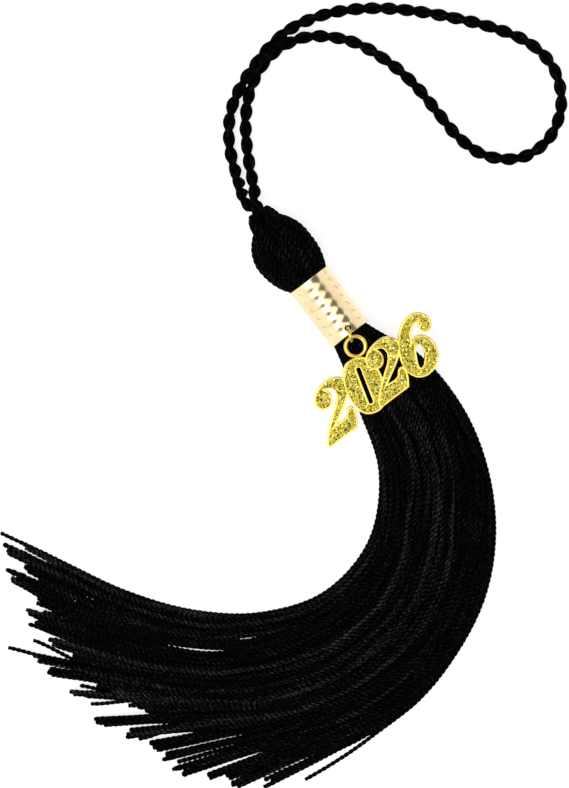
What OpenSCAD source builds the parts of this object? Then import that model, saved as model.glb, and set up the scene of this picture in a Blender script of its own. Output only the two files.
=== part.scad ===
// Graduation tassel lying flat on a table: a twisted hanging loop, a yarn head, a ribbed metal
// band, a fringed skirt that curls round to one side, and a charm of four numerals on a small link.
//
// The band, head and charm line up with +Y. Everything is drawn round the mouth of the band, where
// the skirt comes out, and then moved so that the origin is under the middle of the tassel.

/* [Metal band] */
// Outside diameter over the ribs
band_d = 13.2; // [11:0.2:16]
// Length of the band along the neck
band_l = 19.8; // [15:0.2:24]
// Wall of the band behind a rib valley
band_wall = 0.35; // [0.3:0.05:0.6]
// Number of rolled ribs
rib_count = 7; // [4:1:10]
// Height of a rib above the valleys beside it
rib_h = 0.3; // [0.1:0.05:0.5]
// Diameter of the rolled bead at each end
bead_d = 0.8; // [0.6:0.1:1]

/* [Yarn head] */
// Widest diameter of the head
head_d = 18.4; // [16:0.2:23]
// Length of the head from the band to its crown
head_l = 20; // [17:0.5:24]
// Thickness of the folded yarn over the core
mantle_t = 2.4; // [1.5:0.1:3]
// Diameter of the rolled collar where the loop comes out
collar_d = 7.8; // [7:0.1:9.4]
// Height of the collar
collar_l = 3.2; // [2.5:0.1:4]
// Diameter of the tie that holds the fold
tie_d = 0.9; // [0.6:0.1:1.2]

/* [Hanging loop] */
// Diameter of the twisted cord
cord_d = 3.6; // [2.8:0.1:4.2]
// Diameter of the knot in the collar
knot_d = 5.8; // [4.8:0.1:6]

/* [Link] */
// Outside diameter of the link
link_d = 5; // [4.4:0.1:5.4]
// Wire of the link
link_wire = 0.95; // [0.7:0.05:1.1]
// Hole in the band that the link passes through
link_hole_d = 1.9; // [1.6:0.1:2.2]
// Turn of the link's plane from the band's axis
link_turn = 20; // [0:1:30]

/* [Charm] */
// Thickness of the numerals
charm_t = 1.8; // [1.2:0.1:2.2]
// Width of the polished rim
rim_w = 0.5; // [0.3:0.05:0.7]
// Depth of the recess inside the rim
recess = 0.5; // [0.3:0.05:0.8]
// How far the glitter stays below the rim
glitter_low = 0.1; // [0.05:0.05:0.2]
// Outside diameter of the eye
eye_d = 6.8; // [6:0.1:7.2]
// Wire of the eye
eye_wire = 1.1; // [0.8:0.1:1.3]
// Downward slope of the charm from the band
charm_slope = 9; // [7:0.5:10]

/* [Skirt] */
// Diameter of one strand of yarn
strand_d = 1.3; // [1:0.05:1.6]

/* [Clearances] */
// Gap between pieces that move on each other
run_gap = 0.3; // [0.2:0.05:0.4]
// Gap between pieces that are bound together
yarn_gap = 0.1; // [0.05:0.05:0.2]

/* [Hidden] */

// Where the mouth of the band stands from the middle of the tassel
mouth_x = 47.6;
mouth_y = 23.75;

// Height of the tassel's axis: the head rests on the table
axis_h = head_d / 2;
bore_r = band_d / 2 - rib_h - band_wall;
rib_pitch = band_l / rib_count;
crown_y = band_l + head_l;
knot_y = crown_y + collar_l;

// The skirt is divided into seven locks, each a node of its own
lock_count = 7;

// Colours
yarn_black = [0.06, 0.06, 0.07];
thread_grey = [0.2, 0.2, 0.22];
pale_gold = [0.93, 0.85, 0.66];
bright_gold = [0.85, 0.72, 0.3];
glitter_gold = [0.9, 0.8, 0.25];

// ---------------------------------------------------------------- curves and swept solids

function smooth(x) = let (t = min(1, max(0, x))) t * t * (3 - 2 * t);
function mix(a, b, t) = a + (b - a) * t;
function unit(v) = v / norm(v);

// Catmull-Rom curve between b and c
function spline(a, b, c, d, t) =
    0.5 * (2 * b + (c - a) * t + (2 * a - 5 * b + 4 * c - d) * t * t
           + (3 * b - a - 3 * c + d) * t * t * t);

// Point of an open curve through p, at f from 0 to 1, and straight on past the end
function along(p, f) =
    let (n = len(p) - 1)
    f > 1 ? p[n] + (p[n] - p[n - 1]) * (f - 1) * n :
    let (s = f * n,
         i = min(n - 1, floor(s)),
         before = i == 0 ? 2 * p[0] - p[1] : p[i - 1],
         after = i == n - 1 ? 2 * p[n] - p[n - 1] : p[i + 2])
    spline(before, p[i], p[i + 1], after, s - i);

// Closed outline through p. A point that is written twice is a sharp corner.
function outline(p, steps = 4) =
    let (n = len(p))
    [for (i = [0:n - 1])
        let (b = p[i], c = p[(i + 1) % n])
        if (b != c)
            for (k = [0:steps - 1])
                spline(p[(i + n - 1) % n], b, c, p[(i + 2) % n], k / steps)];

function middle(ring) = [for (p = ring) 1] * ring / len(ring);

// Solid through rings that have the same number of points, with a fan of triangles at each end
module loft(rings) {
    sides = len(rings[0]);
    count = len(rings);
    last = (count - 1) * sides;
    walls = [for (i = [0:count - 2], j = [0:sides - 1], half = [0, 1])
        let (a = i * sides + j, b = i * sides + (j + 1) % sides)
        half == 0 ? [a, b, b + sides] : [a, b + sides, a + sides]];
    start = [for (j = [0:sides - 1]) [(j + 1) % sides, j, count * sides]];
    end = [for (j = [0:sides - 1]) [last + j, last + (j + 1) % sides, count * sides + 1]];
    points = concat([for (ring = rings, point = ring) point],
                    [middle(rings[0]), middle(rings[count - 1])]);
    polyhedron(points = points, faces = concat(start, walls, end));
}

// Ring of a tube round a centre line that never stands upright
function tube_ring(centre, ahead, r, sides = 8) =
    let (across = unit(cross(ahead, [0, 0, 1])), up = cross(across, unit(ahead)))
    [for (k = [0:sides - 1])
        centre + r * (cos(k * 360 / sides) * across + sin(k * 360 / sides) * up)];

// Tube along a list of centre points
module tube(line, r) {
    n = len(line) - 1;
    loft([for (i = [0:n]) tube_ring(line[i], line[min(n, i + 1)] - line[max(0, i - 1)], r)]);
}

// Moves a drawing from the mouth of the band to its place
module place() {
    translate([mouth_x, mouth_y, 0]) children();
}

// Stands a round piece on the axis of the band: its own Z becomes the way to the loop
module on_axis() {
    place() translate([0, 0, axis_h]) rotate([-90, 0, 0]) children();
}

// ---------------------------------------------------------------- band

// Half section of the band: straight bore, crowned ribs outside
module band_section() {
    rib_steps = 6;
    ribs = [for (i = [0:rib_count - 1], k = [0:rib_steps])
        let (t = 2 * k / rib_steps - 1)
        if (k < rib_steps || i == rib_count - 1)
            [band_d / 2 - rib_h * t * t, (i + k / rib_steps) * rib_pitch]];
    polygon(concat(ribs, [[bore_r, band_l], [bore_r, 0]]));
    for (end = [bead_d / 2, band_l - bead_d / 2])
        translate([bore_r + bead_d / 2, end]) circle(d = bead_d, $fn = 24);
}

module ferrule() {
    color(pale_gold)
    difference() {
        on_axis() rotate_extrude($fn = 64) band_section();
        place() translate([link_hole_x, link_hole_y, axis_h])
            cylinder(d = link_hole_d, h = band_d, $fn = 32);
    }
}

// ---------------------------------------------------------------- yarn head

// Outside of the head as [share of the radius, share of the length] from the band to the crown
head_shape = [[0.68, 0], [0.84, 0.12], [0.955, 0.28], [1, 0.48], [0.98, 0.62], [0.89, 0.77],
              [0.74, 0.89], [0.52, 1]];
head_steps = 16;
function head_r(share) = head_d / 2 * along(head_shape, share)[0];
function head_y(share) = head_l * along(head_shape, share)[1];

neck_r = bore_r - yarn_gap;
// The core stops at this share of the head's shape
core_stop = 0.86;
// The tie's waist, as a share of the head's radius
tie_waist = 0.42;

module head_mantle() {
    outside = [for (k = [0:head_steps]) [head_r(k / head_steps), head_y(k / head_steps)]];
    inside = [for (k = [head_steps:-1:0])
        let (s = k / head_steps * core_stop)
        [max(neck_r, head_r(s) - mantle_t), head_y(s)]];
    top = [[0, head_l], [0, head_y(core_stop)]];
    color(yarn_black)
    on_axis() translate([0, 0, band_l + yarn_gap])
        rotate_extrude($fn = 64) polygon(concat(outside, top, inside));
}

// The inner yarn of the fold, with a waist near its top for the tie
module head_core() {
    flank = [for (k = [1:head_steps])
        let (s = k / head_steps * core_stop)
        [head_r(s) - mantle_t - yarn_gap, head_y(s) - yarn_gap]
    ];
    bulge = [for (p = flank) if (p[0] > neck_r - yarn_gap && p[1] < tie_y - tie_d) p];
    color(thread_grey)
    on_axis() translate([0, 0, band_l + yarn_gap])
        rotate_extrude($fn = 48)
            polygon(concat([[0, yarn_gap], [neck_r - yarn_gap, yarn_gap]], bulge,
                           [[tie_r, tie_y - tie_d], [tie_r, tie_y + tie_d],
                            [tie_r + tie_d, tie_y + 1.2 * tie_d], [0, tie_y + 1.4 * tie_d]]));
}

tie_r = head_d / 2 * tie_waist;
tie_y = head_y(core_stop) - 2 * tie_d;

module fold_tie() {
    color(thread_grey)
    on_axis() translate([0, 0, band_l + yarn_gap + tie_y])
        rotate_extrude($fn = 48) translate([tie_r + tie_d / 2, 0]) circle(d = tie_d, $fn = 16);
}

// Rolled yarn round the knot, with a cup that the knot turns in
module head_collar() {
    r = collar_d / 2;
    bulge = 0.6;
    foot_in = 0.3;
    lip_in = 0.8;
    top = collar_l - 2 * yarn_gap;
    roll = [for (a = [-60:20:60])
        [r - bulge + bulge * cos(a), collar_l / 2 + 0.45 * collar_l * sin(a)]];
    color(yarn_black)
    difference() {
        on_axis() translate([0, 0, crown_y + 2 * yarn_gap])
            rotate_extrude($fn = 48)
                polygon(concat([[0, 0], [r - foot_in, 0]], roll, [[r - lip_in, top], [0, top]]));
        on_axis() translate([0, 0, knot_y]) sphere(d = knot_d + 2 * run_gap, $fn = 48);
    }
}

// ---------------------------------------------------------------- neck inside the band

binding_turns = 6;
binding_d = 0.8;
binding_y = band_l / 2;
// The neck stops here, above the link's inner side
neck_stop = 3.5;

module neck_bundle() {
    half = binding_turns * binding_d / 2;
    waist = neck_r - binding_d;
    color(yarn_black)
    on_axis() rotate_extrude($fn = 64)
        polygon([[0, neck_stop], [neck_r - 0.6, neck_stop], [neck_r, neck_stop + 0.8],
                 [neck_r, binding_y - half], [waist, binding_y - half],
                 [waist, binding_y + half], [neck_r, binding_y + half],
                 [neck_r, band_l + yarn_gap], [0, band_l + yarn_gap]]);
}

module neck_binding() {
    last_turn = binding_turns - 1;
    binding_pitch = 0.95 * binding_d;
    color(thread_grey)
    on_axis() rotate_extrude($fn = 64)
        for (i = [0:binding_turns - 1])
            translate([neck_r - binding_d / 2, binding_y + (i - last_turn / 2) * binding_pitch])
                circle(d = binding_d, $fn = 16);
}

// ---------------------------------------------------------------- hanging loop

// Middle of the cord from the knot, out along the long side, round the end and back to the knot
loop_route = [
    [-0.6, 45.4, 11.2], [-1, 47.1, 12.4], [-0.8, 49.8, 11], [0.5, 53.4, 6.4], [2.2, 58, 2.7],
    [4.4, 63.2, 1.8], [7.6, 68.2, 1.8], [11.8, 72.6, 2], [17.2, 75.9, 3.3], [23.5, 78.2, 4.9],
    [30.5, 80.1, 5.3], [37.5, 80.9, 4.8], [44.4, 80.1, 2.9], [53.2, 77, 1.8], [62.2, 71.5, 1.8],
    [70.5, 64.5, 1.8], [78.6, 56, 1.8], [86.1, 46.8, 1.8], [91.9, 37.3, 1.8], [93.8, 28.5, 1.8],
    [92, 20.9, 1.8], [87, 14.3, 1.8], [79.1, 10.4, 1.8], [70.1, 11.3, 1.8], [62.7, 17.8, 1.8],
    [59.7, 26.4, 1.8], [59.1, 36, 1.8], [58.7, 45.5, 1.8], [56.7, 55.7, 1.8], [52.2, 66.6, 1.8],
    [44.6, 74.7, 1.8], [36.8, 78.1, 1.8], [28.8, 78, 1.8], [20.8, 74.7, 1.8], [14.2, 68.8, 1.8],
    [9.4, 62, 1.8], [5.8, 55.4, 2.3], [3.6, 50.6, 4.4], [1.6, 47.7, 6.2], [0.8, 45.6, 7.7]];

module loop_cord() {
    rings = 2 * (len(loop_route) - 1);
    color(yarn_black)
    place() tube([for (i = [0:rings]) along(loop_route, i / rings)], cord_d / 2);
}

module loop_knot() {
    color(yarn_black)
    on_axis() translate([0, 0, knot_y]) sphere(d = knot_d, $fn = 48);
}

// ---------------------------------------------------------------- link

link_r = (link_d - link_wire) / 2;
link_rise = 0.85;
wall_z = axis_h + band_d / 2 - rib_h;
// The link's middle stands a little above the wall of the band, over its edge
link_x = -0.25;
link_y = 0;
link_z = wall_z + link_rise;
// Level reach of the link where it passes through the wall
link_reach = sqrt(link_r * link_r - (link_z - wall_z) * (link_z - wall_z));
link_hole_x = link_x + link_reach * sin(link_turn);
link_hole_y = link_y + link_reach * cos(link_turn);
// The charm hangs at the foremost point of the link
hook_x = link_x - link_r * sin(link_turn);
hook_y = link_y - link_r * cos(link_turn);

module link_ring() {
    color(bright_gold)
    place() translate([link_x, link_y, link_z]) rotate([0, 0, -link_turn]) rotate([0, 90, 0])
        rotate_extrude($fn = 48) translate([link_r, 0]) circle(d = link_wire, $fn = 20);
}

// ---------------------------------------------------------------- charm

// The numerals are drawn flat, with the hook at the origin and the base line 20.7 below it
base_line = -20.7;
eye_hole_r = eye_d / 2 - eye_wire;
eye_y = -(eye_hole_r - link_wire / 2 - 0.05);

two_points = [
    [-3.5, 12], [-2.9, 13.8], [-1.2, 15.3], [1, 16.1], [3.5, 16.3], [5.8, 15.6], [7.4, 14.1],
    [7.9, 12.3], [7.2, 10.5], [5.2, 8.7], [1.8, 6.5], [-1.8, 4.5], [-1.8, 4.5], [0.3, 4.2],
    [1.8, 4.6], [2.9, 5.8], [4.2, 6.1], [4.9, 5.2], [4.2, 2.6], [2.5, 0], [2.5, 0], [-7.5, 0],
    [-7.5, 0], [-7.3, 1.6], [-4.6, 4.5], [-1.3, 7.2], [1.4, 9.2], [2.9, 10.9], [3.3, 12.5],
    [2.8, 13.8], [1.5, 14.3], [1.5, 14.3], [2, 12.9], [1.6, 11.2], [0.5, 9.9], [-1, 9.5],
    [-2.7, 10.2]];

six_points = [
    [6.4, 5], [6.9, 8], [8.3, 10.9], [10, 13.2], [12, 15.2], [14.3, 16.4], [16.8, 16.8],
    [19, 16.1], [20.5, 14.4], [20.8, 12.4], [20, 10.7], [18.5, 9.9], [17.1, 10.5], [16.5, 11.9],
    [17, 13.3], [17.7, 14], [17.7, 14], [16.3, 14], [14.7, 13], [13.4, 11.5], [12.7, 10.4],
    [12.7, 10.4], [14.4, 10.9], [16.4, 10], [17.6, 7.8], [17.6, 4.8], [16.2, 2], [13.7, 0.2],
    [10.8, -0.3], [8.3, 0.7], [6.9, 2.6]];

six_hole_points = [
    [12.4, 7.9], [13.2, 8.4], [14.1, 8.2], [14.2, 7.2], [13.7, 5.4], [12.5, 3.8], [11.2, 2.7],
    [10.3, 2.7], [10.3, 3.7], [11, 5.4]];

module two(x, y) {
    translate([x, base_line + y]) polygon(outline(two_points));
}

module first_two() {
    two(-15.8, -0.1);
}

module second_two() {
    two(2.8, 0.3);
}

// Slanted oval with a long slot
module zero() {
    half_w = 5.6;
    half_l = 8.5;
    slot_w = 1.3;
    slot_l = 11.2;
    translate([-4.6, base_line + 8.4]) rotate(-15.4)
    difference() {
        polygon([for (a = [0:9:351])
            [half_w * sign(cos(a)) * pow(abs(cos(a)), 0.85),
             half_l * sign(sin(a)) * pow(abs(sin(a)), 0.95)]]);
        hull() {
            translate([0, slot_l / 2 - slot_w / 2]) circle(d = slot_w, $fn = 16);
            translate([0, slot_w / 2 - slot_l / 2]) circle(d = slot_w, $fn = 16);
        }
    }
}

module six() {
    translate([1, base_line])
    difference() {
        polygon(outline(six_points));
        polygon(outline(six_hole_points));
    }
}

// Recess of one numeral, less what a numeral above it covers
module recess_first_two() {
    difference() {
        offset(delta = -rim_w) first_two();
        zero_body();
    }
}

module zero_body() {
    hull() zero();
}

module recess_zero() {
    difference() {
        offset(delta = -rim_w) zero();
        second_two();
    }
}

module recess_second_two() {
    offset(delta = -rim_w) second_two();
}

module recess_six() {
    difference() {
        offset(delta = -rim_w) six();
        second_two();
    }
}

// Holds the charm by its hook, sloping down over the skirt, with its face up
module on_charm() {
    place() translate([hook_x, hook_y, link_z]) rotate([charm_slope, 0, 0])
        translate([0, 0, -charm_t / 2]) children();
}

module charm_casting() {
    color(bright_gold)
    on_charm() {
        difference() {
            linear_extrude(charm_t) {
                first_two();
                zero();
                second_two();
                six();
            }
            translate([0, 0, charm_t - recess]) linear_extrude(recess + 1) {
                recess_first_two();
                recess_zero();
                recess_second_two();
                recess_six();
            }
        }
        translate([0, eye_y, charm_t / 2])
            rotate_extrude($fn = 48) translate([eye_d / 2 - eye_wire / 2, 0])
                circle(d = eye_wire, $fn = 20);
    }
}

module glitter_fill() {
    color(glitter_gold)
    on_charm() translate([0, 0, charm_t - recess]) linear_extrude(recess - glitter_low) children();
}

module glitter_first_two() {
    glitter_fill() recess_first_two();
}

module glitter_zero() {
    glitter_fill() recess_zero();
}

module glitter_second_two() {
    glitter_fill() recess_second_two();
}

module glitter_six() {
    glitter_fill() recess_six();
}

// ---------------------------------------------------------------- skirt

// Edges and middle of the skirt, seen from above, in equal steps from the band to the tips
inner_edge = [[-5.8, 0], [-10.4, -19.2], [-16.8, -37.4], [-31.2, -51.4], [-50.6, -55.6], [-69.4, -49.2],
              [-84.5, -37], [-96.5, -21.3], [-105.8, -4], [-114.5, 13.5]];
skirt_middle = [[0, 0], [0.5, -21], [-3.5, -42], [-16, -59], [-33, -71], [-53.5, -75],
                [-74, -71.5], [-92.5, -61], [-108.5, -47], [-124, -32]];
outer_edge = [[5.8, 0], [12.3, -18], [12.9, -37], [8, -55], [-1.5, -71.2], [-14.8, -83.8],
              [-31.5, -92], [-50, -96.3], [-69, -95], [-94, -90.5]];

// Height of the skirt's middle above the table, by share of its length
bed_height = [[0, 11.5], [0.2, 10.4], [0.35, 9], [0.5, 8], [0.65, 6.8], [0.8, 5.2], [0.9, 4.2],
              [1, 3.4], [1.2, 3.2]];
// Yarn above and below the axis at the mouth: it leaves room for the link
mouth_top = 4.1;
mouth_bottom = bore_r + rib_h - yarn_gap;

// Point across the skirt, u from -1 at the inner edge to 1 at the outer one
function skirt_xy(u, f) =
    along(inner_edge, f) * u * (u - 1) / 2 + along(skirt_middle, f) * (1 - u * u)
    + along(outer_edge, f) * u * (u + 1) / 2;

// Level distance between neighbouring strands for each unit of u, square to the strands
function spread(u, f) =
    let (across = (skirt_xy(u + 0.01, f) - skirt_xy(u - 0.01, f)) / 0.02,
         ahead = unit(skirt_xy(u, f + 0.01) - skirt_xy(u, max(0, f - 0.01))))
    abs(across[0] * ahead[1] - across[1] * ahead[0]);

function settled(f) = smooth(f / 0.2);
function middle_top(f) = mix(axis_h + mouth_top, lookup(f, bed_height), settled(f));
function middle_low(f) = mix(axis_h - mouth_bottom, 0, settled(f));
// The section is round at the mouth and a flat cushion on the table
function section_r(f) = (middle_top(f) - middle_low(f)) / 2;
function crown(u, f) = sqrt(max(0.04, 1 - pow(abs(u), 2 + 2 * smooth(2 * f))));
function skirt_low(u, f) =
    mix(middle_low(f) + section_r(f) * (1 - crown(u, f)), middle_low(f), settled(f));
function skirt_top(u, f) = skirt_low(u, f) + 2 * section_r(f) * crown(u, f);

// Share of the length where the gathered root ends, and the gap from there to the locks
root_end = 0.13;
root_gap = 0.003;
// The locks reach this far across, and a strand lies outside them at each edge
edge_u = 0.95;
// Half of the width of a groove between two locks
groove = strand_d / 2 + run_gap;
// Length of the skirt from the mouth to the tips, along its middle
skirt_l = 190;

// One ring of the whole skirt section
function root_ring(f, sides) =
    [for (k = [0:sides - 1])
        let (a = -360 * k / sides,
             u = cos(a) * edge_u,
             rise = abs(sin(a)) < 0.1 ? 0.5 : (1 + sign(sin(a))) / 2)
        concat(skirt_xy(u, f), [mix(skirt_low(u, f), skirt_top(u, f), rise)])];

// The root begins as a ball in the mouth, so that it can swing, and opens to the full section
module skirt_root() {
    sides = 16;
    ball_r = neck_stop - run_gap;
    // Distance along the axis and radius of each ring of the ball, its neck and its flare
    ball = [for (a = [74, 60, 39, 18, 0]) [ball_r * sin(a), ball_r * cos(a)]];
    flare = concat(ball, [[-0.22 * ball_r, ball_r], [-0.47 * ball_r, 1.16 * ball_r]]);
    neck = [for (p = flare) [for (k = [0:sides - 1])
        [p[1] * cos(-360 * k / sides), p[0], axis_h + p[1] * sin(-360 * k / sides)]]];
    opening = [for (f = [0.02, 0.04, 0.06, 0.085, 0.108, root_end - root_gap])
        root_ring(f, sides)];
    color(yarn_black) place() loft(concat(neck, opening));
}

// Where each lock ends, as a share of the length
lock_end = [0.88, 0.92, 0.9, 0.92, 0.9, 0.91, 0.89];
lock_rings = 22;

// Place of the groove before each lock
function groove_u(i) = -edge_u + i * 2 * edge_u / lock_count;

// A lock is the skirt between two grooves
module lock(i) {
    sides = 12;
    rings = [for (n = [0:lock_rings])
        let (f = mix(root_end, lock_end[i], n / lock_rings),
             near_u = groove_u(i) + groove / spread(groove_u(i), f),
             far_u = groove_u(i + 1) - groove / spread(groove_u(i + 1), f))
        [for (k = [0:sides - 1])
            let (a = 15 - 360 * k / sides,
                 u = mix(near_u, far_u, (1 + sign(cos(a)) * pow(abs(cos(a)), 0.5)) / 2),
                 rise = smooth((1 + 1.1 * sign(sin(a)) * pow(abs(sin(a)), 0.5)) / 2))
            concat(skirt_xy(u, f), [mix(skirt_low(u, f), skirt_top(u, f), rise)])]];
    color(yarn_black) place() loft(rings);
}

module lock_1() { lock(0); }
module lock_2() { lock(1); }
module lock_3() { lock(2); }
module lock_4() { lock(3); }
module lock_5() { lock(4); }
module lock_6() { lock(5); }
module lock_7() { lock(6); }

// A free strand lies in a groove, at the bottom or the top, and past the locks it turns to its tip.
// u is its place across the skirt, tip_u and tip_f are where it ends, and it turns from f = leave.
module strand(u, tip_u, tip_f, top, leave = 0.92) {
    rings = ceil((tip_f - root_end) * skirt_l / (3 * strand_d));
    r = strand_d / 2;
    line = [for (n = [0:rings])
        let (f = mix(root_end, tip_f, n / rings),
             turn = smooth((f - leave) / (tip_f - leave)),
             at_u = mix(u, tip_u, turn),
             high = top ? skirt_top(u, f) - r : r,
             low = skirt_low(u, f) + r)
        concat(skirt_xy(at_u, f), [max(r, mix(top ? high : low, r, turn))])];
    color(yarn_black) place() tube(line, r);
}

module strand_inner() { strand(-1.01, -1, 1.01, true); }
module strand_1_low() { strand(groove_u(1), -0.8, 0.98, false); }
module strand_1_top() { strand(groove_u(1), -0.72, 1, true); }
module strand_2_low() { strand(groove_u(2), -0.52, 0.99, false); }
module strand_2_top() { strand(groove_u(2), -0.43, 1, true); }
module strand_3_low() { strand(groove_u(3), -0.3, 1.01, false); }
module strand_3_top() { strand(groove_u(3), -0.19, 1.066, true); }
module strand_4_low() { strand(groove_u(4), 0.04, 1, false); }
module strand_4_top() { strand(groove_u(4), 0.2, 1.02, true); }
module strand_5_low() { strand(groove_u(5), 0.36, 1.01, false); }
module strand_5_top() { strand(groove_u(5), 0.5, 1.03, true); }
module strand_6_low() { strand(groove_u(6), 0.63, 1.03, false); }
module strand_6_top() { strand(groove_u(6), 0.76, 1.02, true); }
module strand_outer() { strand(1.01, 1.065, 0.988, true, 0.8); }

ferrule();
head_mantle();
head_core();
fold_tie();
head_collar();
neck_bundle();
neck_binding();
loop_knot();
loop_cord();
link_ring();
charm_casting();
glitter_first_two();
glitter_zero();
glitter_second_two();
glitter_six();
skirt_root();
lock_1();
lock_2();
lock_3();
lock_4();
lock_5();
lock_6();
lock_7();
strand_inner();
strand_1_low();
strand_1_top();
strand_2_low();
strand_2_top();
strand_3_low();
strand_3_top();
strand_4_low();
strand_4_top();
strand_5_low();
strand_5_top();
strand_6_low();
strand_6_top();
strand_outer();
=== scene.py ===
"""Looks of a graduation tassel that lies flat on a table.

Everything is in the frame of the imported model, in metres. Shapes are drawn in millimetres round
the middle of the band's mouth, with the band along +Y, and are then moved to their place.
"""

import logging
import math
from collections.abc import Callable
from dataclasses import dataclass, field
from enum import Enum

import bpy
import numpy as np
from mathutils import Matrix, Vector

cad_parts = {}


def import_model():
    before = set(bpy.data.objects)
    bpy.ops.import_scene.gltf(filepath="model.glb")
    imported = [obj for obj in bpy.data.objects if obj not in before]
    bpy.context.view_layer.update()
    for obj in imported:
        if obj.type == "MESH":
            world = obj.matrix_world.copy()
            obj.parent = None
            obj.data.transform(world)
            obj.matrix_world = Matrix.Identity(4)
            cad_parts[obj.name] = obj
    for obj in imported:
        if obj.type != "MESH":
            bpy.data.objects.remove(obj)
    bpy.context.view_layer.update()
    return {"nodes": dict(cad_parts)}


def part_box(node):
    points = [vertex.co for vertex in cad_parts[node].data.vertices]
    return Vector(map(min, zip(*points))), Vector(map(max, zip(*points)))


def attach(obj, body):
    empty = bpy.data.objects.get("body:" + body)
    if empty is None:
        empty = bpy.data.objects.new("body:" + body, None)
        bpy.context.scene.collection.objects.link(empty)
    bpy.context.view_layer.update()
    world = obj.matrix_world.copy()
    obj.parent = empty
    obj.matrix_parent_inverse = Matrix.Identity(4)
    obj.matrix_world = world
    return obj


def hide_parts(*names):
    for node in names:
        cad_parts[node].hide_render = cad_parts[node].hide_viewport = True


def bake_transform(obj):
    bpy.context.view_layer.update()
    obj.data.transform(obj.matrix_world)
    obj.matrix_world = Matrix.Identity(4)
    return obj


LOG = logging.getLogger("tassel")
MM = 0.001
SEED = 26
TURN = 2 * math.pi


# ---------------------------------------------------------------- named choices

class Body(Enum):
    """The bodies of the tassel that move on each other."""

    HEAD = "head"
    LOOP = "loop"
    SKIRT = "skirt"
    LINK = "link"
    CHARM = "charm"


class Slot(Enum):
    """The finishes that can be repainted."""

    YARN = "yarn"
    CORD = "loop_cord"
    INNER = "inner_yarn"
    BAND = "band_metal"
    CHARM = "charm_metal"
    LINK = "link_metal"
    GLITTER = "glitter"


class Lie(Enum):
    """Where a free strand lies in its groove."""

    LOW = "low"
    TOP = "top"


# ---------------------------------------------------------------- curves

def smooth(x: np.ndarray) -> np.ndarray:
    """Eases from 0 to 1 as x goes from 0 to 1."""
    t = np.clip(x, 0, 1)
    return t * t * (3 - 2 * t)


def mix(a: np.ndarray, b: np.ndarray, t: np.ndarray) -> np.ndarray:
    """The value between a and b at share t."""
    return a + (b - a) * t


def along(points: tuple, share: np.ndarray) -> np.ndarray:
    """Follows a smooth curve through points, and its last chord past the end.

    Args:
        points: the points of the curve, in equal steps of its share.
        share: where to look, from 0 at the first point to 1 at the last.

    Returns:
        One point for each share.
    """
    p = np.asarray(points, float)
    f = np.asarray(share, float)
    last = len(p) - 1
    place = np.clip(f, 0, 1) * last
    i = np.minimum(last - 1, place.astype(int))
    t = (place - i)[..., None]
    wide = np.vstack([2 * p[0] - p[1], p, 2 * p[-1] - p[-2]])
    a, b, c, d = wide[i], wide[i + 1], wide[i + 2], wide[i + 3]
    curve = 0.5 * (2 * b + (c - a) * t + (2 * a - 5 * b + 4 * c - d) * t ** 2
                   + (3 * b - a - 3 * c + d) * t ** 3)
    return curve + np.maximum(0, f - 1)[..., None] * last * (p[-1] - p[-2])


def lengths(route: np.ndarray) -> np.ndarray:
    """Distance travelled along a route at each of its points."""
    steps = np.linalg.norm(np.diff(route, axis=0), axis=1)
    return np.concatenate([[0], np.cumsum(steps)])


def even(route: np.ndarray, count: int) -> np.ndarray:
    """The same route with count points at equal distances."""
    far = lengths(route)
    at = np.linspace(0, far[-1], count)
    return np.stack([np.interp(at, far, route[:, k]) for k in range(3)], axis=1)


def unit(v: np.ndarray) -> np.ndarray:
    """The vectors in v with a length of 1."""
    return v / np.maximum(np.linalg.norm(v, axis=-1, keepdims=True), 1e-12)


def cross_frames(routes: np.ndarray) -> tuple[np.ndarray, np.ndarray]:
    """Carries a pair of cross directions along routes without twisting them.

    Args:
        routes: points of several routes, as routes by points by 3.

    Returns:
        Two directions square to each route at each point.
    """
    ahead = unit(np.gradient(routes, axis=1))
    steep = np.abs(ahead[:, 0, 2]) > 0.9
    guide = np.where(steep[:, None], [[1.0, 0, 0]], [[0, 0, 1.0]])
    side = np.empty_like(routes)
    side[:, 0] = unit(np.cross(ahead[:, 0], guide))
    for i in range(1, routes.shape[1]):
        old = side[:, i - 1]
        flat = old - (old * ahead[:, i]).sum(-1, keepdims=True) * ahead[:, i]
        side[:, i] = unit(flat)
    return side, np.cross(ahead, side)


def show(name: str, data: bpy.types.ID) -> bpy.types.Object:
    """Puts data in the scene as an object with a name."""
    made = bpy.data.objects.new(name, data)
    bpy.context.scene.collection.objects.link(made)
    return made


@dataclass(frozen=True)
class Place:
    """The middle of the band's mouth on the table, in metres.

    Args:
        x: across the table.
        y: along the band.
        axis: height of the band's axis, in millimetres.
    """

    x: float
    y: float
    axis: float

    @classmethod
    def of_band(cls) -> "Place":
        """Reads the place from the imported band."""
        low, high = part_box("ferrule")
        return cls((low.x + high.x) / 2, low.y, (low.z + high.z) / 2 / MM)

    def put(self, points: np.ndarray) -> np.ndarray:
        """Moves points in millimetres round the mouth to the frame, in metres."""
        return np.asarray(points, float) * MM + [self.x, self.y, 0]


# ---------------------------------------------------------------- yarn

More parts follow.
